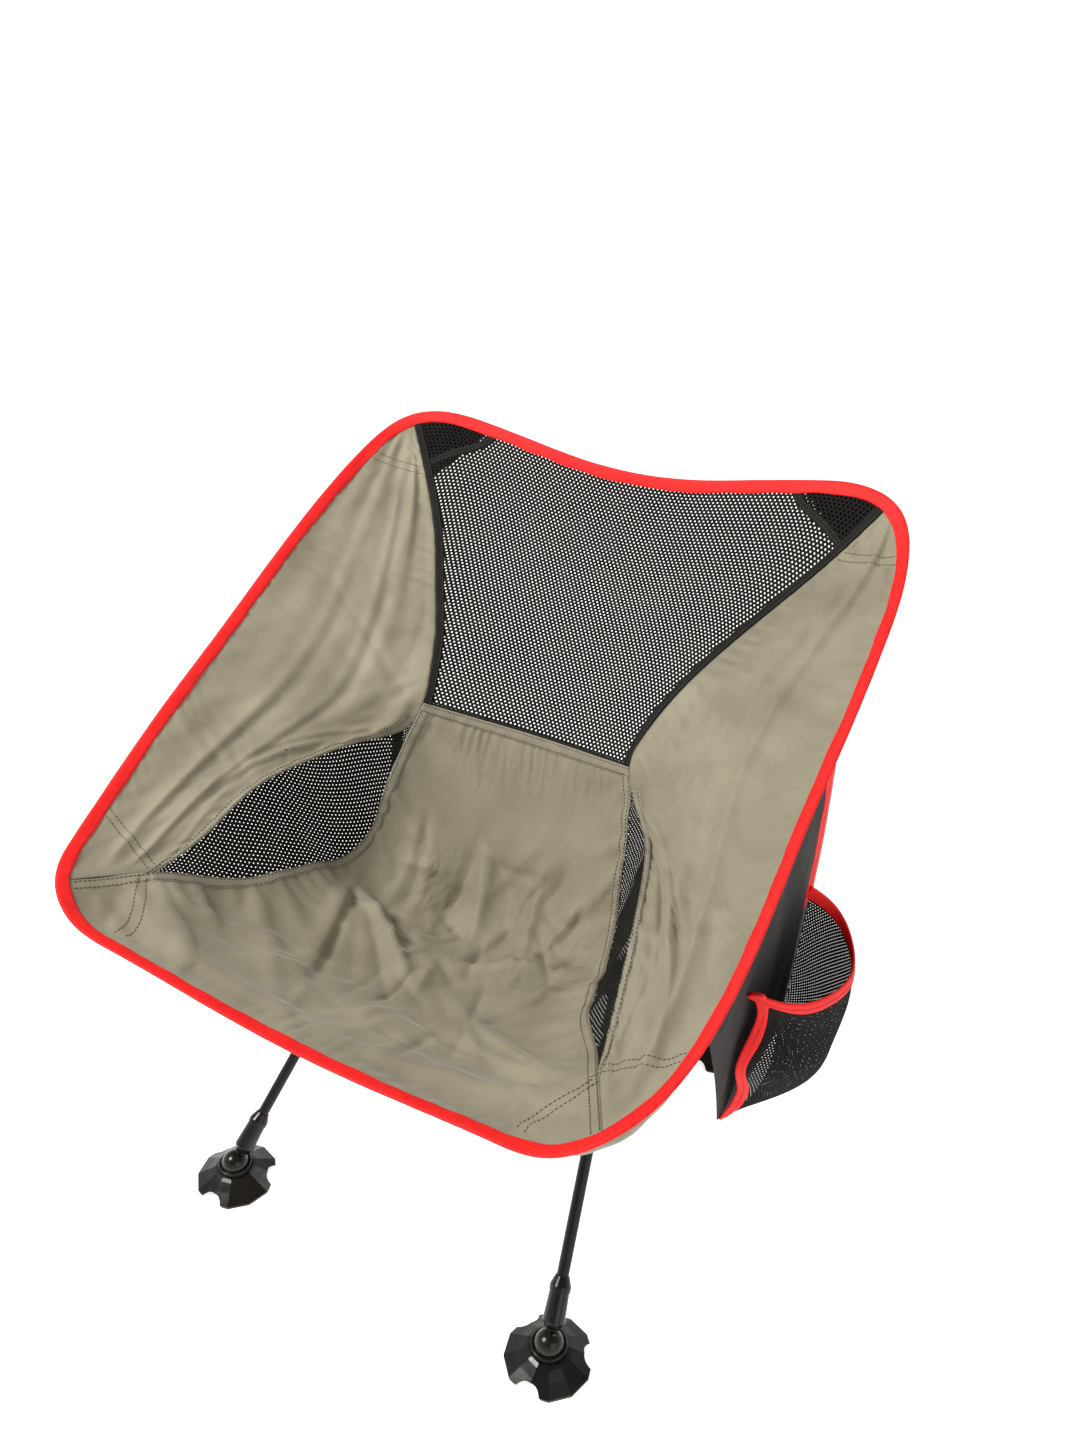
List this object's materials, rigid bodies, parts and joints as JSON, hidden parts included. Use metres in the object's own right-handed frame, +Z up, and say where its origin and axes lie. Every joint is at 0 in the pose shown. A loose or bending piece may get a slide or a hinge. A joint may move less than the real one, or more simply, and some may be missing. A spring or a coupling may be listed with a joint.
{
  "type": "ultralight backpacking chair",
  "caption": "Low folding camp chair: a bucket sling of fabric and mesh on a plug-together tube frame with two hubs, splayed legs, wide swivel feet and a side bottle pocket.",
  "frame": {"origin": "on the floor, on the chair's plane of symmetry, under the seat", "axes": "+Z up, -Y towards the front, +X towards the sitter's left, where the bottle pocket is"},
  "size_m": [0.6068, 0.5344, 0.6467],
  "materials": {
    "frame_tube": "satin black anodised aluminium tube",
    "ferrule_metal": "plain",
    "hub_plastic": "moulded nylon, fine grain",
    "foot_plastic": "glossy dark moulded plastic",
    "rivet_steel": "satin",
    "shock_cord": "braided elastic cord",
    "khaki_fabric": "plain-woven polyester, khaki grey",
    "black_mesh": "open knitted mesh",
    "pocket_mesh": "fine knitted mesh",
    "red_binding": "folded woven binding tape",
    "black_tape": "woven seam tape"
  },
  "bodies": {
    "frame": {"back_corner_pocket_left": "khaki_fabric", "back_corner_pocket_right": "khaki_fabric", "back_mesh": "black_mesh", "back_pole_ferrule_left": "ferrule_metal", "back_pole_ferrule_right": "ferrule_metal", "back_pole_lower_left": "frame_tube", "back_pole_lower_right": "frame_tube", "back_pole_tip_left": "hub_plastic", "back_pole_tip_right": "hub_plastic", "back_pole_upper_left": "frame_tube", "back_pole_upper_right": "frame_tube", "bottle_pocket_back": "pocket_mesh", "bottle_pocket_mesh": "pocket_mesh", "bottle_pocket_rim": "red_binding", "crossbar": "frame_tube", "edge_binding": "red_binding", "front_corner_pocket_left": "khaki_fabric", "front_corner_pocket_right": "khaki_fabric", "gusset_hems": "khaki_fabric", "gusset_mesh_left": "black_mesh", "gusset_mesh_right": "black_mesh", "hub_cap_left": "hub_plastic", "hub_cap_right": "hub_plastic", "hub_left": "hub_plastic", "hub_right": "hub_plastic", "hub_rivets": "rivet_steel", "leg_cord_left": "shock_cord", "leg_cord_right": "shock_cord", "mesh_corner_patch": "black_mesh", "mesh_seam_tape": "black_tape", "pole_cord_left": "shock_cord", "pole_cord_right": "shock_cord", "seat_back_hem": "khaki_fabric", "seat_panel": "khaki_fabric", "seat_pole_left": "frame_tube", "seat_pole_right": "frame_tube", "seat_pole_tip_left": "hub_plastic", "seat_pole_tip_right": "hub_plastic", "side_panel_left": "khaki_fabric", "side_panel_right": "khaki_fabric"},
    "leg_front_left": {"front_leg_left": "frame_tube", "front_boot_left": "foot_plastic", "front_cord_anchor_left": "shock_cord"},
    "cup_front_left": {"front_cup_ring_left": "foot_plastic"},
    "foot_front_left": {"front_pad_left": "foot_plastic"},
    "leg_front_right": {"front_leg_right": "frame_tube", "front_boot_right": "foot_plastic", "front_cord_anchor_right": "shock_cord"},
    "cup_front_right": {"front_cup_ring_right": "foot_plastic"},
    "foot_front_right": {"front_pad_right": "foot_plastic"},
    "leg_rear_left": {"rear_leg_left": "frame_tube", "rear_boot_left": "foot_plastic", "rear_cord_anchor_left": "shock_cord"},
    "cup_rear_left": {"rear_cup_ring_left": "foot_plastic"},
    "foot_rear_left": {"rear_pad_left": "foot_plastic"},
    "leg_rear_right": {"rear_leg_right": "frame_tube", "rear_boot_right": "foot_plastic", "rear_cord_anchor_right": "shock_cord"},
    "cup_rear_right": {"rear_cup_ring_right": "foot_plastic"},
    "foot_rear_right": {"rear_pad_right": "foot_plastic"}
  },
  "joints": [
    {"name": "pull_leg_front_left", "type": "slide", "parent": "frame", "child": "leg_front_left", "axis": [0.1558, -0.6628, -0.7324], "range_m": [0, 0.06], "stiffness_N_per_m": 150, "springref_m": -0.05},
    {"name": "tilt_foot_front_left", "type": "hinge", "parent": "leg_front_left", "child": "cup_front_left", "pos_m": [0.175, -0.172, 0.019], "axis": [-0.9735, -0.2288, 0], "range_deg": [-9, 32]},
    {"name": "spin_foot_front_left", "type": "hinge", "parent": "cup_front_left", "child": "foot_front_left", "pos_m": [0.175, -0.172, 0.019], "axis": [0, 0, 1], "continuous": true},
    {"name": "pull_leg_front_right", "type": "slide", "parent": "frame", "child": "leg_front_right", "axis": [-0.1558, -0.6628, -0.7324], "range_m": [0, 0.06], "stiffness_N_per_m": 150, "springref_m": -0.05},
    {"name": "tilt_foot_front_right", "type": "hinge", "parent": "leg_front_right", "child": "cup_front_right", "pos_m": [-0.175, -0.172, 0.019], "axis": [-0.9735, 0.2288, 0], "range_deg": [-9, 32]},
    {"name": "spin_foot_front_right", "type": "hinge", "parent": "cup_front_right", "child": "foot_front_right", "pos_m": [-0.175, -0.172, 0.019], "axis": [0, 0, 1], "continuous": true},
    {"name": "pull_leg_rear_left", "type": "slide", "parent": "frame", "child": "leg_rear_left", "axis": [0.0806, 0.6651, -0.7424], "range_m": [0, 0.06], "stiffness_N_per_m": 150, "springref_m": -0.05},
    {"name": "tilt_foot_rear_left", "type": "hinge", "parent": "leg_rear_left", "child": "cup_rear_left", "pos_m": [0.152, 0.226, 0.019], "axis": [0.9927, -0.1203, 0], "range_deg": [-9, 32]},
    {"name": "spin_foot_rear_left", "type": "hinge", "parent": "cup_rear_left", "child": "foot_rear_left", "pos_m": [0.152, 0.226, 0.019], "axis": [0, 0, 1], "continuous": true},
    {"name": "pull_leg_rear_right", "type": "slide", "parent": "frame", "child": "leg_rear_right", "axis": [-0.0806, 0.6651, -0.7424], "range_m": [0, 0.06], "stiffness_N_per_m": 150, "springref_m": -0.05},
    {"name": "tilt_foot_rear_right", "type": "hinge", "parent": "leg_rear_right", "child": "cup_rear_right", "pos_m": [-0.152, 0.226, 0.019], "axis": [0.9927, 0.1203, 0], "range_deg": [-9, 32]},
    {"name": "spin_foot_rear_right", "type": "hinge", "parent": "cup_rear_right", "child": "foot_rear_right", "pos_m": [-0.152, 0.226, 0.019], "axis": [0, 0, 1], "continuous": true}
  ]
}
